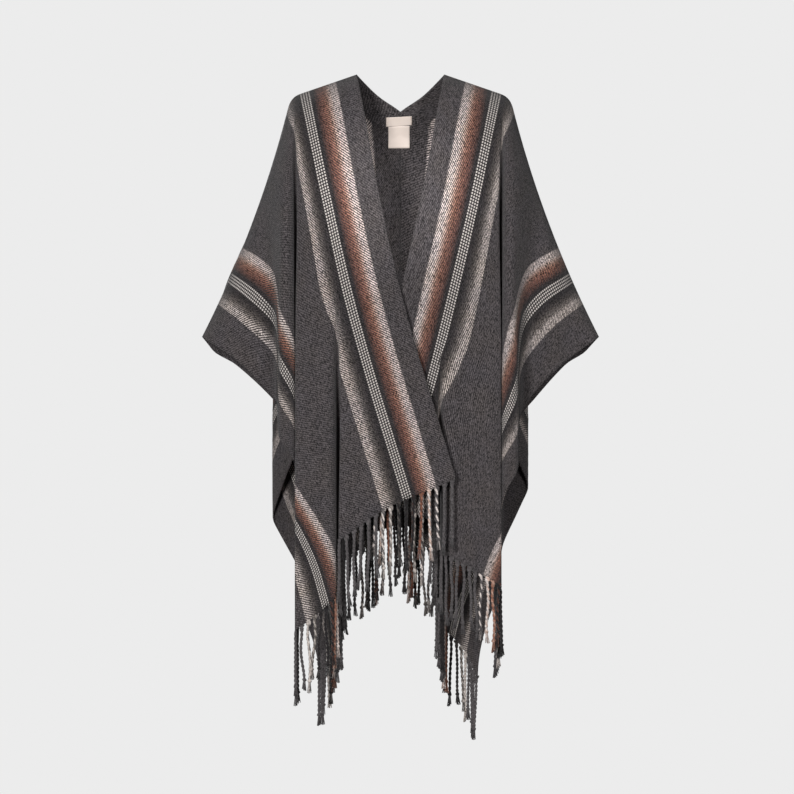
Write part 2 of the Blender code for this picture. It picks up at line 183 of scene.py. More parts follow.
FRONT_LEFT = Quarter(
    side=1,
    facing=-1,
    slopes=(0.5, 3.5),
    depths=((0, 50), (-50, 70), (-100, 88), (-200, 114), (-300, 124), (-450, 124), (-700, 124), (-1200, 122)),
    folds=(
        Fold("valley", 80, -520, -1000, 134, 82, 1.0),
        Fold("valley", 203, -60, -640, 174, 87, 0.85),
        Fold("overlap", 240, -140, -720, 70, 86, 1.0),
    ),
    stations=(0.15, 0.275, 0.52, 1.0),
    warps=(
        Warp(0, 860, ((73, -77), (53, -192), (6, -413), (-80, -818))),
        Warp(163, 850, ((211, -142), (188, -259), (144, -483), (40, -880))),
        Warp(258, 850, ((242, -216), (226, -325), (222, -540), (150, -920))),
        Warp(454, 830, ((392, -393), (371, -488), (374, -690), (300, -998))),
        Warp(568, 815, ((506, -497), (474, -579), (446, -755), (370, -1040))),
        Warp(648, 800, ((568, -572), (530, -642), (488, -795), (415, -1075))),
    ),
)

BACK_DEPTHS = ((0, 50), (-71, 68), (-120, 92), (-200, 112), (-300, 120), (-450, 122), (-1250, 128))
BACK_MIDDLE = Warp(0, 955, ((45, -41), (0, -NECK_DROP), (0, -420), (0, -900)))

BACK_RIGHT = Quarter(
    side=-1,
    facing=1,
    slopes=(0.0, 3.5),
    depths=BACK_DEPTHS,
    folds=(
        Fold("valley", 60, -700, -1200, 156, 76, 1.2),
        Fold("valley", 140, -380, -840, 164, 80, 1.0),
        Fold("valley", 203, -140, -620, 40, 74, 1.0),
        Fold("overlap", 234, -160, -700, 144, 138, 1.0),
    ),
    stations=(0.08, SLIT_SHARE, 0.5, 1.0),
    warps=(
        BACK_MIDDLE,
        Warp(163, 960, ((210, -117), (195, -160), (158, -498), (145, -950))),
        Warp(258, 965, ((242, -202), (230, -245), (242, -553), (228, -990))),
        Warp(454, 975, ((400, -374), (378, -410), (385, -702), (380, -1080))),
        Warp(568, 985, ((508, -478), (486, -508), (462, -784), (460, -1140))),
        Warp(648, 990, ((588, -552), (566, -580), (512, -825), (488, -1180))),
    ),
)

BACK_LEFT = Quarter(
    side=1,
    facing=1,
    slopes=(0.0, 3.5),
    depths=BACK_DEPTHS,
    folds=(
        Fold("valley", 30, -620, -1200, 160, 76, 1.3),
        Fold("valley", 92, -380, -860, 180, 82, 1.0),
        Fold("valley", 203, -140, -620, 40, 74, 1.0),
        Fold("overlap", 240, -160, -600, 124, 128, 1.0),
    ),
    stations=(0.08, SLIT_SHARE, 0.5, 1.0),
    warps=(
        BACK_MIDDLE,
        Warp(163, 960, ((210, -117), (195, -160), (158, -498), (140, -950))),
        Warp(258, 965, ((242, -202), (230, -245), (242, -553), (222, -990))),
        Warp(454, 975, ((400, -374), (378, -410), (385, -702), (382, -1090))),
        Warp(568, 985, ((508, -478), (486, -508), (464, -784), (470, -1160))),
        Warp(648, 990, ((588, -552), (566, -580), (512, -830), (498, -1216))),
    ),
)


# %% Curves through the tables
def smooth_step(x):
    x = np.clip(x, 0.0, 1.0)
    return x * x * (3.0 - 2.0 * x)


def smooth_through(x, knots, values):
    """A curve through the values at the knots, with no overshoot. A value may be an array like x."""
    x = np.asarray(x, float)
    values = np.array([np.broadcast_to(value, x.shape) for value in values], float)
    spans = np.diff(knots).reshape((-1,) + (1,) * x.ndim)
    slopes = np.diff(values, axis=0) / spans
    before, after = slopes[:-1], slopes[1:]
    agree = before * after > 0
    between = 2 * before * after / np.where(agree, before + after, 1.0)
    tangents = np.concatenate([slopes[:1], np.where(agree, between, 0.0), slopes[-1:]])
    span = np.clip(np.searchsorted(knots, x) - 1, 0, len(knots) - 2)

    def at(table, shift=0):
        return np.take_along_axis(table, span[None] + shift, axis=0)[0]

    width = np.diff(knots)[span]
    t = (x - np.asarray(knots, float)[span]) / width
    ends = at(values) * (1 + 2 * t) * (1 - t) ** 2 + at(values, 1) * t * t * (3 - 2 * t)
    leans = at(tangents) * t * (1 - t) ** 2 + at(tangents, 1) * t * t * (t - 1)
    return ends + width * leans


def ridge(across):
    """Distance out and height of the shoulder line, at a distance across the cloth from the slit."""
    fine = np.linspace(0.0, HALF_WIDTH, 650)
    bend = smooth_step((fine - SHOULDER_LENGTH + SHOULDER_BEND / 2) / SHOULDER_BEND)
    arm_slope = np.interp(fine, (SHOULDER_LENGTH, HALF_WIDTH), ARM_SLOPES)
    slope = SHOULDER_SLOPE + (arm_slope - SHOULDER_SLOPE) * bend
    step = np.diff(fine, prepend=0.0)
    out = NECK_HALF_WIDTH + np.cumsum(np.cos(slope) * step)
    height = -np.cumsum(np.sin(slope) * step)
    return np.interp(across, fine, out), np.interp(across, fine, height)


# %% Creases
# Soft troughs, and ridges where the depth is below 0, as seen on each panel. top and bottom: distance out and
# height of the ends. width: from side to side.
Crease = namedtuple("Crease", "side facing top bottom width depth")
CREASES = (
    Crease(-1, -1, (266, -110), (282, -470), 46, 15.0),
    Crease(-1, -1, (318, -290), (322, -560), 36, 7.0),
    Crease(-1, -1, (352, -330), (330, -560), 34, -5.0),
    Crease(-1, -1, (408, -430), (372, -610), 36, 5.0),
    Crease(-1, -1, (228, -170), (232, -520), 22, -4.0),
    Crease(-1, -1, (170, -190), (166, -640), 30, 4.5),
    Crease(-1, -1, (184, -560), (170, -980), 26, -5.0),
    Crease(-1, -1, (66, -420), (84, -860), 44, 5.5),
    Crease(-1, -1, (20, -520), (30, -800), 36, -3.0),
    Crease(-1, -1, (140, -160), (122, -420), 26, 2.5),
    Crease(1, -1, (264, -110), (276, -500), 44, 14.0),
    Crease(1, -1, (300, -260), (306, -500), 36, -5.0),
    Crease(1, -1, (346, -330), (330, -590), 38, 7.0),
    Crease(1, -1, (402, -430), (318, -640), 64, 13.0),
    Crease(1, -1, (228, -180), (230, -560), 24, -4.0),
    Crease(1, -1, (160, -210), (150, -600), 34, 5.0),
    Crease(1, -1, (178, -520), (168, -940), 28, -4.5),
    Crease(1, -1, (52, -620), (70, -930), 40, 6.0),
    Crease(1, -1, (120, -560), (132, -860), 30, 4.0),
    Crease(-1, 1, (20, -110), (26, -430), 30, 3.5),
    Crease(-1, 1, (92, -160), (84, -520), 36, 4.0),
    Crease(-1, 1, (150, -200), (166, -620), 34, -5.0),
    Crease(-1, 1, (268, -280), (280, -640), 40, 7.0),
    Crease(-1, 1, (340, -380), (330, -700), 36, 5.0),
    Crease(-1, 1, (410, -480), (390, -760), 34, -4.0),
    Crease(1, 1, (44, -140), (36, -500), 34, 4.5),
    Crease(1, 1, (118, -170), (124, -560), 32, 3.5),
    Crease(1, 1, (170, -240), (158, -600), 30, -4.0),
    Crease(1, 1, (262, -270), (276, -620), 38, 8.0),
    Crease(1, 1, (350, -400), (336, -740), 40, -5.0),
    Crease(1, 1, (420, -500), (404, -780), 30, 4.0),
)


def crease_depth(quarter, out, height):
    """How far the creases press the cloth in at each distance out and height."""
    total = np.zeros_like(out)
    for crease in CREASES:
        if (crease.side, crease.facing) != (quarter.side, quarter.facing):
            continue
        fall = (crease.top[1] - height) / (crease.top[1] - crease.bottom[1])
        line = crease.top[0] + (crease.bottom[0] - crease.top[0]) * fall
        ends = np.sin(math.pi * np.clip(fall, 0.0, 1.0)) ** 1.5
        total += crease.depth * ends * np.exp(-(((out - line) / (crease.width / 2)) ** 2))
    return total


# %% The folded plan section
INNER_TURN = math.radians(96.0)  # the wall of a valley nearer the centre leans back under its lip
INNER_LIP, BOTTOM, OUTER_LIP = 9.0, 12.0, 38.0  # cloth that each turn of a valley takes
OVERLAP_LIP, OVERLAP_BACK = 26.0, 110.0
SOFTEST = 0.8  # the share of its wall that a turn takes at most
# The turn of a fold grows with this power of its size: a valley is steep at once, an overlap later.
QUICKNESS = {"valley": 0.07, "overlap": 0.4}
SHAPE_PLACES = np.linspace(-1.5, 1.5, 151)


def turned_by(place, softness):
    """A smooth step from 0 to 1 about the place 0."""
    return smooth_step(place / softness + 0.5)


def fold_shape(fold, grown, wall, place):
    """The heading of one fold at each place along it. Places are walls from its middle."""
    steep = grown ** QUICKNESS[fold.kind]
    turn = math.radians(fold.turn) * steep
    if fold.kind == "overlap":
        lip, back = (np.minimum(SOFTEST, length / wall) for length in (OVERLAP_LIP, OVERLAP_BACK))
        return turn * (turned_by(place + 0.5, lip) - turned_by(place - 0.5, back))
    first, second, third = (np.minimum(SOFTEST, length / wall) for length in (INNER_LIP, BOTTOM, OUTER_LIP))
    inner = turned_by(place + 1, first) - turned_by(place, second)
    outer = turned_by(place, second) - turned_by(place - 1, third)
    return INNER_TURN * steep * inner - turn * outer


def fold_heading(fold, passed, run, height):
    """How far one fold turns the section at each run, and the cloth that it hides at each height."""
    grown = np.maximum(smooth_step((fold.top - height) / (fold.top - fold.full)) ** fold.pace, 1e-6)
    hidden = fold.hidden * grown
    grown_row, wall = grown[:, :1], hidden[:, :1] / 2
    for _ in range(3):  # the wall is as long as makes the fold hide its cloth
        lost = 1 - np.cos(fold_shape(fold, grown_row, wall, SHAPE_PLACES))
        wall = hidden[:, :1] / (lost.mean(axis=1, keepdims=True) * np.ptp(SHAPE_PLACES))
    middle = (run - fold.at - passed - hidden / 2) / wall
    return fold_shape(fold, grown, wall, middle), hidden


@functools.lru_cache(maxsize=None)
def section_grid(quarter):
    """Runs, heights, and the distance out and depth of the folded sheet at each of them."""
    runs = np.arange(RUN_START, RUN_END, RUN_STEP)
    heights = np.arange(HEIGHT_TOP, HEIGHT_END, -HEIGHT_STEP)
    run, height = np.meshgrid(runs, heights)
    near, far = quarter.slopes
    slant = near + (far - near) * np.clip(run / 200.0, 0.0, 1.3)
    heading = np.radians(slant * (1 - 0.45 * smooth_step((-height - 100) / 400)))
    passed = np.zeros_like(height)
    for fold in quarter.folds:
        turned, hidden = fold_heading(fold, passed, run, height)
        heading = heading + turned
        passed = passed + hidden
    centre = int(round(-RUN_START / RUN_STEP))

    def summed(rate):
        total = np.cumsum((rate[:, 1:] + rate[:, :-1]) / 2 * RUN_STEP, axis=1)
        total = np.concatenate([np.zeros((len(heights), 1)), total], axis=1)
        return total - total[:, centre : centre + 1]

    levels, depths = zip(*quarter.depths)
    middle = np.interp(-height, -np.array(levels, float), depths)
    return runs, heights, summed(np.cos(heading)), middle - summed(np.sin(heading))


def look_up(grid, run, height):
    """Distance out and depth at any runs and heights, read between the grid's points."""
    runs, heights, out, depth = grid
    i = np.clip(((heights[0] - height) / HEIGHT_STEP).astype(int), 0, len(heights) - 2)
    j = np.clip(((run - runs[0]) / RUN_STEP).astype(int), 0, len(runs) - 2)
    down = (heights[i] - height) / HEIGHT_STEP
    along = (run - runs[j]) / RUN_STEP

    def between(table):
        upper = table[i, j] * (1 - along) + table[i, j + 1] * along
        lower = table[i + 1, j] * (1 - along) + table[i + 1, j + 1] * along
        return upper * (1 - down) + lower * down

    return between(out), between(depth)


def run_to(grid, out, height):
    """The outermost run at which the section, at each height, lies at a distance out."""
    runs = grid[0]
    found = []
    for distance, level in zip(out, height):
        row, _ = look_up(grid, runs, np.full(len(runs), level))
        last = min(np.nonzero(row <= distance)[0][-1], len(runs) - 2)
        share = (distance - row[last]) / (row[last + 1] - row[last])
        found.append(runs[last] + share * RUN_STEP)
    return np.array(found)


@functools.lru_cache(maxsize=None)
def shoulder_runs(quarter):
    """Distances across, and the run at which each of them starts on the shoulder line."""
    knots = np.linspace(0.0, HALF_WIDTH, 60)
    return knots, run_to(section_grid(quarter), *ridge(knots))


# %% Draping a point of the cloth
NECK_STRAIGHT = 110.0  # within this distance of the slit the back's neck edge runs straight to the slit's end


def fallen(along, length, roll):
    """Share of the fall from the shoulder that a warp has gone, after rolling over it."""
    turned = np.minimum(along * length / roll, math.pi / 2)
    drop = roll * (1 - np.cos(turned)) + np.maximum(along * length - roll * math.pi / 2, 0)
    return drop / (length - roll * (math.pi / 2 - 1)), np.sin(turned)


def warp_length(quarter, across):
    """Length of cloth from shoulder to hem, at a distance across."""
    return smooth_through(across, [w.across for w in quarter.warps], [w.length for w in quarter.warps])


def drape(quarter, across, along):
    """World points, in mm, of the cloth's middle layer. along is 0 at the shoulder and 1 at the hem."""
    grid = section_grid(quarter)
    warp_across = [warp.across for warp in quarter.warps]
    knots, ridge_runs = shoulder_runs(quarter)
    start_run = np.interp(across, knots, ridge_runs)
    start_height = ridge(across)[1]
    length = warp_length(quarter, across)
    roll = np.clip(look_up(grid, start_run, start_height)[1], LEAST_ROLL, MOST_ROLL)
    share, rolled = fallen(along, length, roll)
    neck_roll = np.clip(look_up(grid, ridge_runs[:1], np.zeros(1))[1], LEAST_ROLL, MOST_ROLL)
    shares, _ = fallen(np.array((0.0,) + quarter.stations), quarter.warps[0].length, neck_roll)
    places = [(start_run, start_height)]
    for index in range(len(quarter.stations)):
        runs, heights = zip(*[warp.places[index] for warp in quarter.warps])
        places.append(
            (smooth_through(across, warp_across, runs), smooth_through(across, warp_across, heights))
        )
    run = smooth_through(share, shares, [place[0] for place in places])
    height = smooth_through(share, shares, [place[1] for place in places])
    if quarter.facing > 0:
        straight = np.clip(1 - across / NECK_STRAIGHT, 0.0, 1.0) * (share < shares[2])
        taut = start_run + (places[2][0] - start_run) * share / shares[2]
        run = run + straight * (taut - run)
    out, depth = look_up(grid, run, height)
    depth = (depth - crease_depth(quarter, out, height)) * rolled
    return np.stack([quarter.side * out, quarter.facing * depth, height], axis=-1)


print("shoulder falls %.0f mm by the selvedge" % -ridge(HALF_WIDTH)[1])

# %% [markdown]
# ## One continuous cloth
# The solids part the cloth at the shoulder so that each panel is a wall of its own. The real cloth has no
# seam there, so the fine cloth is one piece. Each quarter is a bmesh grid whose points are moved by the
# drape. The four are joined and merged where they meet, and a Solidify modifier gives the thickness.
# Every vertex remembers its place on the flat cloth, which becomes the UV map that the weave follows.

# %% Cloth builder
COLUMNS = 120
FRONT_ROWS = 78
BACK_ROWS = 88
SLIT_ROW = 12
SAMPLES = 500
CROWDING = 32.0  # millimetres of even spacing that one radian of bending is worth
CROWD_FROM = 0.12  # share of the fall over which the columns leave their even spacing
MERGE = 1.2
UV_SPAN = 2000.0  # millimetres of flat cloth from one side of the UV square to the other


def row_share(row, rows):
    """Share along of a mesh row of the back: nearly even, with one of them at the slit's end."""
    return (row / rows) ** (math.log(SLIT_SHARE) / math.log(SLIT_ROW / rows))


def crowded(quarter, along):
    """Distance across of each column of each row: the columns crowd together where the cloth bends."""
    fine = np.linspace(0.0, HALF_WIDTH, SAMPLES)
    rows = len(along)
    points = drape(quarter, np.tile(fine, rows), np.repeat(along, SAMPLES)).reshape(rows, SAMPLES, 3)
    steps = np.diff(points, axis=1)
    steps = steps / np.linalg.norm(steps, axis=2, keepdims=True)
    bend = np.zeros((rows, SAMPLES - 1))
    bend[:, 1:] = np.linalg.norm(np.diff(steps, axis=1), axis=2)
    for axis, reach in ((1, 13), (0, 5)):
        window = np.hanning(reach + 2)
        window = window / window.sum()
        bend = np.apply_along_axis(np.convolve, axis, bend, window, "same")
    weight = HALF_WIDTH / (SAMPLES - 1) + CROWDING * bend * smooth_step(along / CROWD_FROM)[:, None]
    reached = np.concatenate([np.zeros((rows, 1)), np.cumsum(weight, axis=1)], axis=1)
    columns = np.linspace(0.0, 1.0, COLUMNS + 1)
    return np.array([np.interp(columns, row / row[-1], fine) for row in reached])


def quarter_grid(quarter, rows, shares):
    """One quarter of the cloth as an open bmesh. shares maps a row number to a share along."""
    bm = bmesh.new()
    bmesh.ops.create_grid(bm, x_segments=COLUMNS, y_segments=rows, size=0.5)
    flat = bm.verts.layers.float_vector.new("flat")
    places = np.array([vert.co[:2] for vert in bm.verts]) + 0.5
    column = np.round(places[:, 0] * COLUMNS).astype(int)
    row = np.round(places[:, 1] * rows).astype(int)
    along = shares(row.astype(float))
    across = crowded(quarter, shares(np.arange(rows + 1.0)))[row, column]
    down = along * warp_length(quarter, across)
    points = drape(quarter, across, along)
    for vert, point, a, d in zip(bm.verts, points, across, down):
        vert.co = Vector(point) * METRES
        vert[flat] = Vector((quarter.side * a, quarter.facing * d, 0.0))
    return bm


def add_quarter(bm, quarter, rows, shares):
    """Joins one quarter to the whole cloth."""
    piece = quarter_grid(quarter, rows, shares)
    mesh = bpy.data.meshes.new("quarter")
    piece.to_mesh(mesh)
    piece.free()
    bm.from_mesh(mesh)
    bpy.data.meshes.remove(mesh)


def finish_piece(name, bm, material):
    """Makes an object at the origin from a bmesh, smooth shaded, and rides it on the frame."""
    mesh = bpy.data.meshes.new(name)
    bm.to_mesh(mesh)
    bm.free()
    mesh.shade_smooth()
    mesh.materials.append(material)
    obj = bpy.data.objects.new(name, mesh)
    bpy.context.scene.collection.objects.link(obj)
    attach(obj, "root")
    print(name, len(mesh.polygons), "faces")
    return obj


def make_cloth(material):
    bm = bmesh.new()
    bm.verts.layers.float_vector.new("flat")
    for quarter in (FRONT_RIGHT, FRONT_LEFT):
        add_quarter(bm, quarter, FRONT_ROWS, lambda row: row / FRONT_ROWS)
    for quarter in (BACK_RIGHT, BACK_LEFT):
        add_quarter(bm, quarter, BACK_ROWS, lambda row: row_share(row, BACK_ROWS))
    flat = bm.verts.layers.float_vector["flat"]
    seam = [vert for vert in bm.verts if abs(vert[flat].x) < 0.01 or abs(vert[flat].y) < 0.01]
    bmesh.ops.remove_doubles(bm, verts=seam, dist=MERGE * METRES)
    bmesh.ops.recalc_face_normals(bm, faces=bm.faces)
    uv = bm.loops.layers.uv.new("cloth")
    for face in bm.faces:
        for loop in face.loops:
            loop[uv].uv = loop.vert[flat].xy / UV_SPAN + Vector((0.5, 0.5))
    return bm


# %% [markdown]
# ## Woven wool twill
# The cloth is a 2/2 twill in a soft wool and acrylic blend: each warp thread passes over two weft threads
# and under two, one step along at each thread, which draws fine diagonal lines. Warp stripes colour it:
# cream, a rust that fades to near black, a pin check of four rows of white dots, slate, and a paler cream.
# The weft is charcoal throughout. The nap is lightly brushed, so it is matt with a faint sheen at grazing
# angles. Threads and picks lie 1.34 mm apart, so a twill line comes every 5.4 mm.

# %% Stripe colours
CHARCOAL = "#524e4f"
WEFT = "#393637"
CREAM = "#cfc4bf"
WARM_CREAM = "#cab2a6"
PEACH = "#aa897a"
LIGHT_RUST = "#9c7463"
RUST = "#8c604f"
DARK_RUST = "#6a4539"
BLACK = "#232021"
SLATE = "#4a4542"
PALE = "#beb5af"
PALE_FADED = "#857e79"
DOT_WHITE = "#c6bfba"

# The warp's colour at each distance from the slit, in millimetres. The group of stripes comes twice.
STRIPE_REPEAT = 407.0
Stop = namedtuple("Stop", "at colour")
STRIPES = (
    Stop(0.0, CHARCOAL),
    Stop(44.0, CHARCOAL),
    Stop(45.6, CREAM),
    Stop(56.0, CREAM),
    Stop(62.5, WARM_CREAM),
    Stop(66.6, PEACH),
    Stop(70.0, LIGHT_RUST),
    Stop(75.0, RUST),
    Stop(84.0, DARK_RUST),
    Stop(94.0, BLACK),
    Stop(128.0, BLACK),
    Stop(138.0, SLATE),
    Stop(148.0, PALE_FADED),
    Stop(154.0, PALE),
    Stop(167.0, PALE),
    Stop(168.5, CHARCOAL),
)
CHECK_START = 99.5
CHECK_COLUMNS = 4
# Melange, as shares of a yarn's colour: each float lies from the darkest up by the contrast, and a patch
# shifts it.
DARKEST_FLOAT, FLOAT_CONTRAST = 0.2, 1.5
DARKEST_PATCH, PALEST_PATCH = -0.3, 0.45
CHECK_ACROSS = 5.5
CHECK_ALONG = 5.3
THREAD = 1.34


def stripe_nodes(tree, across):
    """The place in the group of stripes, and the warp's colour, from a distance across in millimetres."""
    outward = add_node(tree, "ShaderNodeMath", [(0, across)], operation="ABSOLUTE")
    place = add_node(tree, "ShaderNodeMath", [(0, outward), (1, STRIPE_REPEAT)], operation="MODULO")
    share = add_node(tree, "ShaderNodeMath", [(0, place), (1, STRIPE_REPEAT)], operation="DIVIDE")
    ramp = add_node(tree, "ShaderNodeValToRGB", [(0, share)])
    fill_ramp(ramp, [(stop.at / STRIPE_REPEAT, linear(stop.colour)) for stop in STRIPES])
    return place, ramp


def make_cloth_material():
    material, shader = new_material("brushed_wool_twill", roughness=0.92, ior=1.45)
    shader.inputs["Sheen Weight"].default_value = 0.1
    shader.inputs["Sheen Roughness"].default_value = 0.6
    shader.inputs["Specular IOR Level"].default_value = 0.2
    tree = material.node_tree
    uv = add_node(tree, "ShaderNodeUVMap", uv_map="cloth")
    flat = add_node(
        tree,
        "ShaderNodeMapping",
        [("Vector", uv), ("Location", (-UV_SPAN / 2, -UV_SPAN / 2, 0.0)), ("Scale", (UV_SPAN, UV_SPAN, 1.0))],
    )
    place = add_node(tree, "ShaderNodeSeparateXYZ", [(0, flat)])
    across, along = place.outputs["X"], place.outputs["Y"]
    repeat_place, ramp = stripe_nodes(tree, across)

    # Twill: the warp shows where the sum of thread and pick numbers, over four, has a fraction under a half.
    slant = add_node(tree, "ShaderNodeMath", [(0, across), (1, along)], operation="ADD")
    step = add_node(tree, "ShaderNodeMath", [(0, slant), (1, 4 * THREAD)], operation="DIVIDE")
    twill = add_node(tree, "ShaderNodeMath", [(0, step), (1, 0.5)], operation="PINGPONG")
    warp_up = add_node(
        tree,
        "ShaderNodeMapRange",
        [("Value", twill), ("From Min", 0.17), ("From Max", 0.3), ("To Min", 0.0), ("To Max", 1.0)],
        interpolation_type="SMOOTHSTEP",
    )
    thread = add_node(tree, "ShaderNodeMath", [(0, across), (1, THREAD)], operation="DIVIDE")
    thread_round = add_node(tree, "ShaderNodeMath", [(0, thread), (1, 0.5)], operation="PINGPONG")
    pick = add_node(tree, "ShaderNodeMath", [(0, along), (1, THREAD)], operation="DIVIDE")
    pick_round = add_node(tree, "ShaderNodeMath", [(0, pick), (1, 0.5)], operation="PINGPONG")

    # Melange: each yarn is spun from pale and dark fibres. Every float of it differs, and so do patches.
    thread_number = add_node(tree, "ShaderNodeMath", [(0, thread)], operation="FLOOR")
    half_steps = add_node(tree, "ShaderNodeMath", [(0, step), (1, 2.0)], operation="MULTIPLY")
    float_number = add_node(tree, "ShaderNodeMath", [(0, half_steps)], operation="FLOOR")
    float_key = add_node(tree, "ShaderNodeCombineXYZ", [("X", thread_number), ("Y", float_number)])
    float_tone = add_node(tree, "ShaderNodeTexWhiteNoise", [("Vector", float_key)], noise_dimensions="2D")
    speckle = add_node(
        tree,
        "ShaderNodeTexNoise",
        [("Vector", flat), ("Scale", 0.3), ("Detail", 2.0), ("Roughness", 0.7)],
    )
    patch = add_node(
        tree,
        "ShaderNodeMapRange",
        [
            ("Value", speckle),
            ("From Min", 0.38),
            ("From Max", 0.62),
            ("To Min", DARKEST_PATCH),
            ("To Max", PALEST_PATCH),
        ],
    )
    float_gain = add_node(
        tree,
        "ShaderNodeMath",
        [(0, float_tone), (1, FLOAT_CONTRAST), (2, DARKEST_FLOAT)],
        operation="MULTIPLY_ADD",
    )
    melange_gain = add_node(tree, "ShaderNodeMath", [(0, float_gain), (1, patch)], operation="ADD")
    yarn_colour = add_node(
        tree,
        "ShaderNodeMix",
        [("Factor", warp_up), (6, linear(WEFT)), (7, ramp)],
        data_type="RGBA",
    )
    speckled = add_node(
        tree,
        "ShaderNodeVectorMath",
        [(0, yarn_colour.outputs[2]), ("Scale", melange_gain)],
        operation="SCALE",
    )

    # The dyed wool leans to brown in some places and to blue in others.
    drift = add_node(
        tree,
        "ShaderNodeTexNoise",
        [("Vector", flat), ("Scale", 0.018), ("Detail", 2.0), ("Roughness", 0.5)],
    )
    tint = add_node(
        tree,
        "ShaderNodeMix",
        [("Factor", drift), (6, linear("#ebebf4")), (7, linear("#f6efe6"))],
        data_type="RGBA",
    )
    speckled = add_node(
        tree,
        "ShaderNodeVectorMath",
        [(0, speckled), (1, tint.outputs[2])],
        operation="MULTIPLY",
    )

    # Pin check: four columns of white dots.
    local = add_node(
        tree, "ShaderNodeMath", [(0, repeat_place), (1, CHECK_START)], operation="SUBTRACT"
    )
    column = add_node(tree, "ShaderNodeMath", [(0, local), (1, CHECK_ACROSS)], operation="DIVIDE")
    column_round = add_node(tree, "ShaderNodeMath", [(0, column), (1, 0.5)], operation="PINGPONG")
    row = add_node(tree, "ShaderNodeMath", [(0, along), (1, CHECK_ALONG)], operation="DIVIDE")
    row_round = add_node(tree, "ShaderNodeMath", [(0, row), (1, 0.5)], operation="PINGPONG")
    dot_across = add_node(
        tree,
        "ShaderNodeMapRange",
        [("Value", column_round), ("From Min", 0.16), ("From Max", 0.28)],
        interpolation_type="SMOOTHSTEP",
    )
    dot_along = add_node(
        tree,
        "ShaderNodeMapRange",
        [("Value", row_round), ("From Min", 0.15), ("From Max", 0.27)],
        interpolation_type="SMOOTHSTEP",
    )
    inside_low = add_node(tree, "ShaderNodeMath", [(0, local), (1, 0.0)], operation="GREATER_THAN")
    inside_high = add_node(
        tree,
        "ShaderNodeMath",
        [(0, local), (1, CHECK_COLUMNS * CHECK_ACROSS)],
        operation="LESS_THAN",
    )
    inside = add_node(tree, "ShaderNodeMath", [(0, inside_low), (1, inside_high)], operation="MULTIPLY")
    dots = add_node(tree, "ShaderNodeMath", [(0, dot_across), (1, dot_along)], operation="MULTIPLY")
    check = add_node(tree, "ShaderNodeMath", [(0, dots), (1, inside)], operation="MULTIPLY")
    colour = add_node(
        tree,
        "ShaderNodeMix",
        [("Factor", check), (6, speckled), (7, linear(DOT_WHITE))],
        data_type="RGBA",
    )
    tree.links.new(colour.outputs[2], shader.inputs["Base Color"])

    # Relief: threads stand up where they float, and the brushed nap breaks the surface up.
    relief = add_node(
        tree,
        "ShaderNodeMix",
        [("Factor", warp_up), (2, pick_round), (3, thread_round)],
        data_type="FLOAT",
    )
    nap = add_node(tree, "ShaderNodeMath", [(0, speckle), (1, 0.6), (2, relief)], operation="MULTIPLY_ADD")
    bump = add_node(
        tree,
        "ShaderNodeBump",
        [("Strength", 0.8), ("Distance", 0.9 * METRES), ("Height", nap)],
    )
    tree.links.new(bump.outputs[0], shader.inputs["Normal"])
    return material


twill_material = make_cloth_material()
cloth = finish_piece("woven_cloth", make_cloth(twill_material), twill_material)
thickness = cloth.modifiers.new("Thickness", "SOLIDIFY")
thickness.thickness = WALL * METRES
thickness.offset = 0.0
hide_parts("front_right", "front_left", "back")

# %% Which way the cloth faces
bpy.context.view_layer.update()
front_faces = [p for p in cloth.data.polygons if p.center.y < -0.1 and abs(p.center.x) < 0.1]
print("front faces look along y %.2f" % (sum(p.normal.y for p in front_faces) / max(len(front_faces), 1)))

# %% [markdown]
# ## Twisted fringe
# At each hem a bunch of warp ends, 17.5 mm of the cloth's width, is parted in two, and the halves are twisted
# round each other, knotted near the end and left loose below the knot. One cord is modelled once: a flattened
# circle screwed downwards with spin makes the two plies, the knot is a small turned bead, and the loose ends
# are thin tapered prisms. The cord is then copied to each bunch along the hem, bent a little differently each
# time. Each ply takes its colour from the stripe it grows out of, through the same UV map as the cloth.

# %% One twisted cord
STRIP_HEIGHT = 6.0
STRAND_PITCH = 17.5
STRAND_WIDTH = 5.6
STRAND_LENGTH = 126.0
STRAND_UNEVEN = 9.0
STRAND_MARGIN = 3.0
CORD_WIDTH = 6.6
CORD_THICKNESS = 4.9
WAIST = 0.72  # how thick the cord is between its two plies, as a share
TURNS = 6
RINGS_PER_TURN = 6
KNOT_AT = 0.84
KNOT_WIDTH = 8.4
KNOT_HEIGHT = 8.0
LOOSE_ENDS = 9
LOOSE_WIDTH = 2.2
LOOSE_FLARE = 5.0
ROOT_SPREAD = 2.2  # how much wider the bunch is where it leaves the cloth
ROOT_SHARE = 0.10  # and how far down it has gathered


def add_plies(bm, ply):
    """Two plies twisted round each other, as one tube from the origin down to KNOT_AT."""
    circle = bmesh.ops.create_circle(bm, segments=8, radius=1.0)["verts"]
    for vert in circle:
        vert[ply] = 1 if vert.co.x > 0.01 else -1 if vert.co.x < -0.01 else 0
        waist = WAIST + (1 - WAIST) * min(1.0, abs(vert.co.x) / 0.7)
        vert.co = Vector((vert.co.x * CORD_WIDTH / 2, vert.co.y * CORD_THICKNESS / 2 * waist, 0.0))
    steps = TURNS * RINGS_PER_TURN
    bmesh.ops.spin(
        bm,
        geom=circle + list(bm.edges),
        axis=(0.0, 0.0, 1.0),
        dvec=(0.0, 0.0, -KNOT_AT / steps),
        angle=TURNS * math.tau,
        steps=steps,
    )


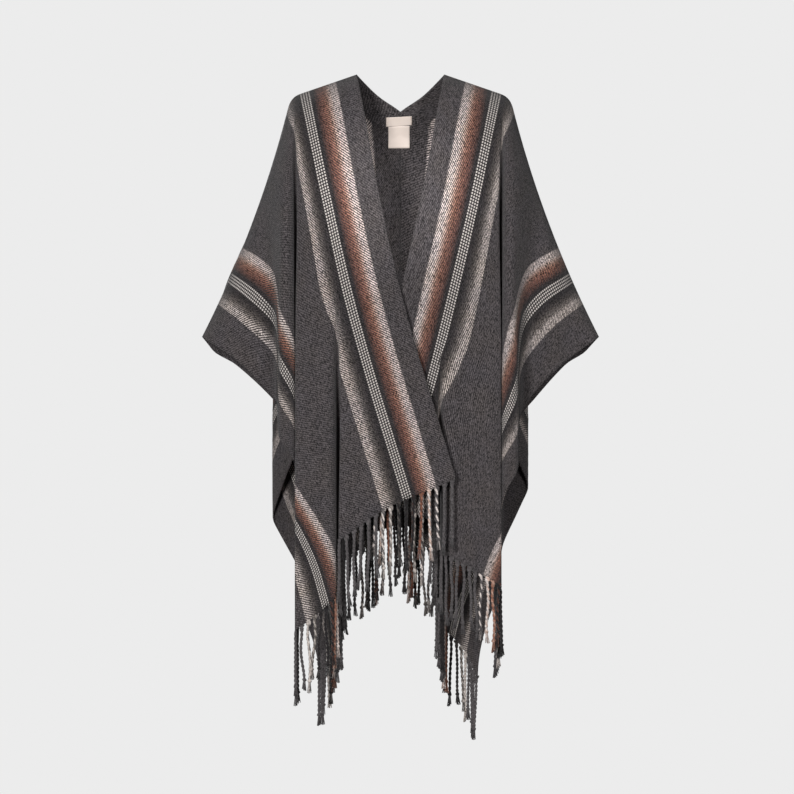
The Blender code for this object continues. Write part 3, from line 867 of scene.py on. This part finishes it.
def add_knot(bm, ply):
    for vert in bmesh.ops.create_icosphere(bm, subdivisions=2, radius=1.0)["verts"]:
        vert[ply] = 1 if vert.co.x > 0 else -1
        lump = 1.0 + 0.16 * math.sin(3.0 * math.atan2(vert.co.y, vert.co.x) + 4.0 * vert.co.z)
        vert.co.x *= KNOT_WIDTH / 2 * lump
        vert.co.y *= KNOT_WIDTH / 2 * lump
        vert.co.z = -KNOT_AT + vert.co.z * KNOT_HEIGHT / 2 / STRAND_LENGTH


def add_loose_ends(bm, ply):
    """The brush of yarn ends under the knot, spreading a little."""
    for end in range(LOOSE_ENDS):
        way = Vector((math.cos(2.4 * end), math.sin(2.4 * end), 0.0)) * math.sqrt(end / LOOSE_ENDS)
        tip = -1.0 + 0.018 * math.sin(4.1 * end)
        prism = bmesh.ops.create_cone(bm, segments=3, radius1=0.7, radius2=1.0, depth=1.0, cap_ends=True)
        for vert in prism["verts"]:
            low = vert.co.z > 0
            vert[ply] = 1 if end % 2 else -1
            place = vert.co * (LOOSE_WIDTH / 2) + way * LOOSE_FLARE * (1.0 if low else 0.4)
            vert.co = Vector((place.x, place.y, tip if low else -KNOT_AT))


def cord_template():
    """One cord with its knot and loose ends. z runs from 0 at the root to -1 at the tip, x and y are mm."""
    bm = bmesh.new()
    ply = bm.verts.layers.int.new("ply")
    add_plies(bm, ply)
    add_knot(bm, ply)
    add_loose_ends(bm, ply)
    bmesh.ops.recalc_face_normals(bm, faces=bm.faces)
    mesh = bpy.data.meshes.new("cord_template")
    bm.to_mesh(mesh)
    sides = [1 if sum(vert[ply] for vert in face.verts) > 0 else -1 for face in bm.faces]
    bm.free()
    print("one cord has", len(mesh.polygons), "faces")
    return mesh, sides


# %% A fringe along a hem
def turned_about(points, angle):
    """Points turned about the vertical, by one angle for each cord."""
    cos, sin = np.cos(angle), np.sin(angle)
    return points[:, 0] * cos - points[:, 1] * sin, points[:, 0] * sin + points[:, 1] * cos


def bent_cords(points, roots, heading, index):
    """The template's points copied to each root, in mm: gathered at the cloth, waved and leant by number."""
    share = -points[:, 2]
    x, y = turned_about(points, 2.1 * index)
    gathered = 1.0 - smooth_step(share / ROOT_SHARE)
    x = x * (1.0 + (ROOT_SPREAD - 1.0) * gathered)
    y = y * (1.0 - 0.5 * gathered)
    length = STRAND_LENGTH + STRAND_UNEVEN * np.sin(2.4 * index) + STRIP_HEIGHT
    x = x + (5.0 * np.sin(1.7 * index) + 3.0 * np.sin(5.3 * index)) * share**2
    x = x + 2.2 * np.sin(3.1 * index) * np.sin(7.0 * share + 1.3 * index) * smooth_step(share * 4)
    y = y + 2.5 * np.cos(2.9 * index) * share**2
    cos, sin = heading[:, :1], heading[:, 1:]
    level = np.stack([cos * x - sin * y, sin * x + cos * y], axis=-1)
    fallen_by = WALL * gathered - length * share
    return np.concatenate([level + roots[:, None, :2], (roots[:, 2:] + fallen_by)[..., None]], axis=-1)


def make_fringe(place, start, sign, hem_length):
    """Cords along a hem, from start to HALF_WIDTH across. place gives the hem's points."""
    count = int((HALF_WIDTH - start - 2 * STRAND_MARGIN - STRAND_WIDTH) / STRAND_PITCH) + 1
    used = (count - 1) * STRAND_PITCH + STRAND_WIDTH
    first = (start + HALF_WIDTH - used) / 2 + STRAND_WIDTH / 2
    across = first + STRAND_PITCH * np.arange(count)
    heading = place(across + 1.0)[:, :2] - place(across - 1.0)[:, :2]
    heading = heading / np.linalg.norm(heading, axis=1, keepdims=True)
    template, sides = cord_template()
    bm = bmesh.new()
    for _ in range(count):
        bm.from_mesh(template)
    shape = np.array([vert.co for vert in template.vertices])
    points = bent_cords(shape, place(across), heading, np.arange(count)[:, None]).reshape(-1, 3) * METRES
    for vert, point in zip(bm.verts, points):
        vert.co = point
    down = hem_length(across)
    uv = bm.loops.layers.uv.new("cloth")
    for number, face in enumerate(bm.faces):
        cord, part = divmod(number, len(sides))
        at = sign * (across[cord] + sides[part] * STRAND_PITCH / 4)
        for loop in face.loops:
            around = shape[loop.vert.index % len(shape)]
            flat = Vector((at + around[1], down[cord] - around[2] * STRAND_LENGTH))
            loop[uv].uv = flat / UV_SPAN + Vector((0.5, 0.5))
    bpy.data.meshes.remove(template)
    return bm


def make_yarn_material():
    """Soft two-ply wool yarn, in the colour of the stripe that it grows from."""
    material, shader = new_material("plied_wool_yarn", roughness=0.95, ior=1.45)
    shader.inputs["Sheen Weight"].default_value = 0.2
    shader.inputs["Specular IOR Level"].default_value = 0.2
    tree = material.node_tree
    uv = add_node(tree, "ShaderNodeUVMap", uv_map="cloth")
    flat = add_node(
        tree,
        "ShaderNodeMapping",
        [("Vector", uv), ("Location", (-UV_SPAN / 2, -UV_SPAN / 2, 0.0)), ("Scale", (UV_SPAN, UV_SPAN, 1.0))],
    )
    place = add_node(tree, "ShaderNodeSeparateXYZ", [(0, flat)])
    _, ramp = stripe_nodes(tree, place.outputs["X"])
    fibres = add_node(tree, "ShaderNodeTexNoise", [("Vector", flat), ("Scale", 0.24), ("Detail", 2.0)])
    gain = add_node(
        tree,
        "ShaderNodeMapRange",
        [("Value", fibres), ("From Min", 0.35), ("From Max", 0.65), ("To Min", 0.55), ("To Max", 1.25)],
    )
    shade = add_node(tree, "ShaderNodeVectorMath", [(0, ramp), ("Scale", gain)], operation="SCALE")
    tree.links.new(shade.outputs[0], shader.inputs["Base Color"])
    bump = add_node(
        tree, "ShaderNodeBump", [("Strength", 0.5), ("Distance", 0.5 * METRES), ("Height", fibres)]
    )
    tree.links.new(bump.outputs[0], shader.inputs["Normal"])
    return material


def front_hem(quarter):
    return lambda across: drape(quarter, np.clip(across, 0.0, HALF_WIDTH), np.ones_like(across))


def back_hem(across):
    """The back's hem from selvedge to selvedge: across is negative on the wearer's right."""
    outward = np.clip(np.abs(across), 0.0, HALF_WIDTH)
    right = drape(BACK_RIGHT, outward, np.ones_like(across))
    left = drape(BACK_LEFT, outward, np.ones_like(across))
    return np.where((across < 0)[:, None], right, left)


yarn_material = make_yarn_material()
Fringe = namedtuple("Fringe", "solid place start sign quarter")
FRINGES = (
    Fringe("fringe_front_right", front_hem(FRONT_RIGHT), 0.0, -1, FRONT_RIGHT),
    Fringe("fringe_front_left", front_hem(FRONT_LEFT), 0.0, 1, FRONT_LEFT),
    Fringe("fringe_back", back_hem, -HALF_WIDTH, 1, BACK_LEFT),
)


def dress_fringe(fringe):
    def hem_length(across):
        return fringe.quarter.facing * warp_length(fringe.quarter, np.abs(across))

    bm = make_fringe(fringe.place, fringe.start, fringe.sign, hem_length)
    cords = finish_piece("twisted_" + fringe.solid, bm, yarn_material)
    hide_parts(fringe.solid)
    return cords


fringes = [dress_fringe(fringe) for fringe in FRINGES]

# %% [markdown]
# ## Blank labels
# Two small woven ribbons lie on the inside of the back, under the point of the neck: a wide name label over
# a narrower care label. Both are left blank. Each is a bmesh grid dropped on to the cloth's inner face, bent
# a little off it, and given a ribbon's thickness by a Solidify modifier. Stitches hold the upper one at its
# sides.

# %% Labels
# tilt: degrees, one side up. stand: gap to the middle of the cloth. curl: how far the free lower corners
# lift. stitches: at each side.
Label = namedtuple("Label", "name solid middle top width height tilt stand curl stitches")
LABELS = (
    Label("name_label", "neck_label", -3.0, -80.5, 52.0, 18.0, 3.0, 3.4, 0.0, 5),
    Label("care_ribbon", "care_label", -3.0, -98.5, 43.0, 44.0, 0.6, 2.4, 3.0, 0),
)
LABEL_CELLS = 16
LABEL_THICKNESS = 0.7
LABEL_WAVE = 0.5
STITCH_LENGTH, STITCH_WIDTH, STITCH_INSET = 3.4, 0.8, 2.4


def make_label_material():
    """Satin-edged woven ribbon: fine ribs across it and a soft shine."""
    material, shader = new_material("woven_label_ribbon", roughness=0.55)
    tree = material.node_tree
    where = add_node(tree, "ShaderNodeTexCoord")
    ribs = add_node(
        tree,
        "ShaderNodeTexWave",
        [("Vector", where.outputs["Object"]), ("Scale", 180.0), ("Distortion", 0.6), ("Detail", 1.0)],
        bands_direction="Z",
    )
    tone = add_node(
        tree,
        "ShaderNodeMix",
        [("Factor", ribs), (6, linear("#dcc9bd")), (7, linear("#ebe0d7"))],
        data_type="RGBA",
    )
    tree.links.new(tone.outputs[2], shader.inputs["Base Color"])
    bump = add_node(tree, "ShaderNodeBump", [("Strength", 0.4), ("Distance", 0.3 * METRES), ("Height", ribs)])
    tree.links.new(bump.outputs[0], shader.inputs["Normal"])
    return material


def on_cloth(label, tree, u, v, lift):
    """The point of a label at the shares u across and v up it, a little off the inner face of the back."""
    height = label.top + (v - 0.5) * label.height + u * label.width * math.tan(math.radians(label.tilt))
    start = Vector(((label.middle + u * label.width) * METRES, 0.0, height * METRES))
    hit, _, _, _ = tree.ray_cast(start, Vector((0.0, 1.0, 0.0)))
    curl = label.curl * (0.5 - v) ** 2 * (2 * u) ** 2
    wave = LABEL_WAVE * math.sin(5.0 * u + 2.0 * v)
    return hit - Vector((0.0, (label.stand + curl + wave + lift) * METRES, 0.0))


def make_label(label, tree):
    """A ribbon and its stitches on the inner face of the back. tree finds the cloth."""
    bm = bmesh.new()
    bmesh.ops.create_grid(bm, x_segments=LABEL_CELLS, y_segments=LABEL_CELLS, size=0.5)
    for vert in bm.verts:
        vert.co = on_cloth(label, tree, vert.co.x, vert.co.y, 0.0)
    half_u, half_v = STITCH_LENGTH / 2 / label.width, STITCH_WIDTH / 2 / label.height
    for side in (-1, 1):
        u = side * (0.5 - STITCH_INSET / label.width)
        for v in np.linspace(-0.4, 0.4, label.stitches):
            corners = [(u + half_u * a, v + half_v * b) for a, b in ((-1, -1), (1, -1), (1, 1), (-1, 1))]
            places = [on_cloth(label, tree, *corner, LABEL_THICKNESS) for corner in corners]
            bm.faces.new([bm.verts.new(place) for place in places])
    bmesh.ops.recalc_face_normals(bm, faces=bm.faces)
    return bm


label_material = make_label_material()
cloth_tree = BVHTree.FromObject(cloth, bpy.context.evaluated_depsgraph_get())
for label in LABELS:
    ribbon = finish_piece(label.name, make_label(label, cloth_tree), label_material)
    wall = ribbon.modifiers.new("Thickness", "SOLIDIFY")
    wall.thickness = LABEL_THICKNESS * METRES
    wall.offset = 0.0
    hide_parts(label.solid)

# %% [markdown]
# ## Light
# The garment hangs in an even pale studio. Two soft lights stand far off in front, the stronger one to the
# left, and neither looks straight into a fold, so the folds stay dark. A third grazes the cloth from the
# left. A narrow light reaches through the neck to the inside of the back, and one behind keeps the back
# readable.
# The camera sees the world brighter than it shines.

# %% Lights and world
PALE_GREY = "#ececec"
WORLD_SHARE = 0.12  # how strongly the world lights the cloth, against how bright it looks

# cone: the angle of a spot in degrees, or 0 for an area light.
Light = namedtuple("Light", "name place aim size power cone")
MIDDLE = (0.0, 0.0, -0.6)
LIGHTS = (
    Light("key", (-2.3, -7.7, 0.9), MIDDLE, 1.4, 520.0, 0.0),
    Light("left", (-5.0, -5.5, 1.2), MIDDLE, 2.0, 20.0, 0.0),
    Light("right", (2.6, -7.6, 0.7), MIDDLE, 1.4, 230.0, 0.0),
    Light("neck", (-0.3, -4.5, 1.3), (0.01, 0.1, -0.3), 0.06, 760.0, 4.9),
    Light("rear", (-1.0, 7.0, -0.4), MIDDLE, 2.5, 420.0, 0.0),
)


def make_lights():
    for light in LIGHTS:
        data = bpy.data.lights.new(light.name, "SPOT" if light.cone else "AREA")
        data.energy = light.power
        if light.cone:
            data.spot_size, data.spot_blend = math.radians(light.cone), 1.0
            data.shadow_soft_size = light.size
        else:
            data.size = light.size
        obj = bpy.data.objects.new(light.name, data)
        obj.location = light.place
        heading = Vector(light.aim) - Vector(light.place)
        obj.rotation_euler = heading.to_track_quat("-Z", "Y").to_euler()
        bpy.context.scene.collection.objects.link(obj)


def make_world():
    world = bpy.data.worlds.new("pale_studio")
    world.use_nodes = True
    tree = world.node_tree
    background = tree.nodes["Background"]
    background.inputs["Color"].default_value = linear(PALE_GREY)
    path = add_node(tree, "ShaderNodeLightPath")
    strength = add_node(
        tree,
        "ShaderNodeMapRange",
        [("Value", path.outputs["Is Camera Ray"]), ("To Min", WORLD_SHARE), ("To Max", 1.0)],
    )
    tree.links.new(strength.outputs[0], background.inputs["Strength"])
    bpy.context.scene.world = world


make_lights()
make_world()
bpy.context.scene.view_settings.view_transform = "Standard"
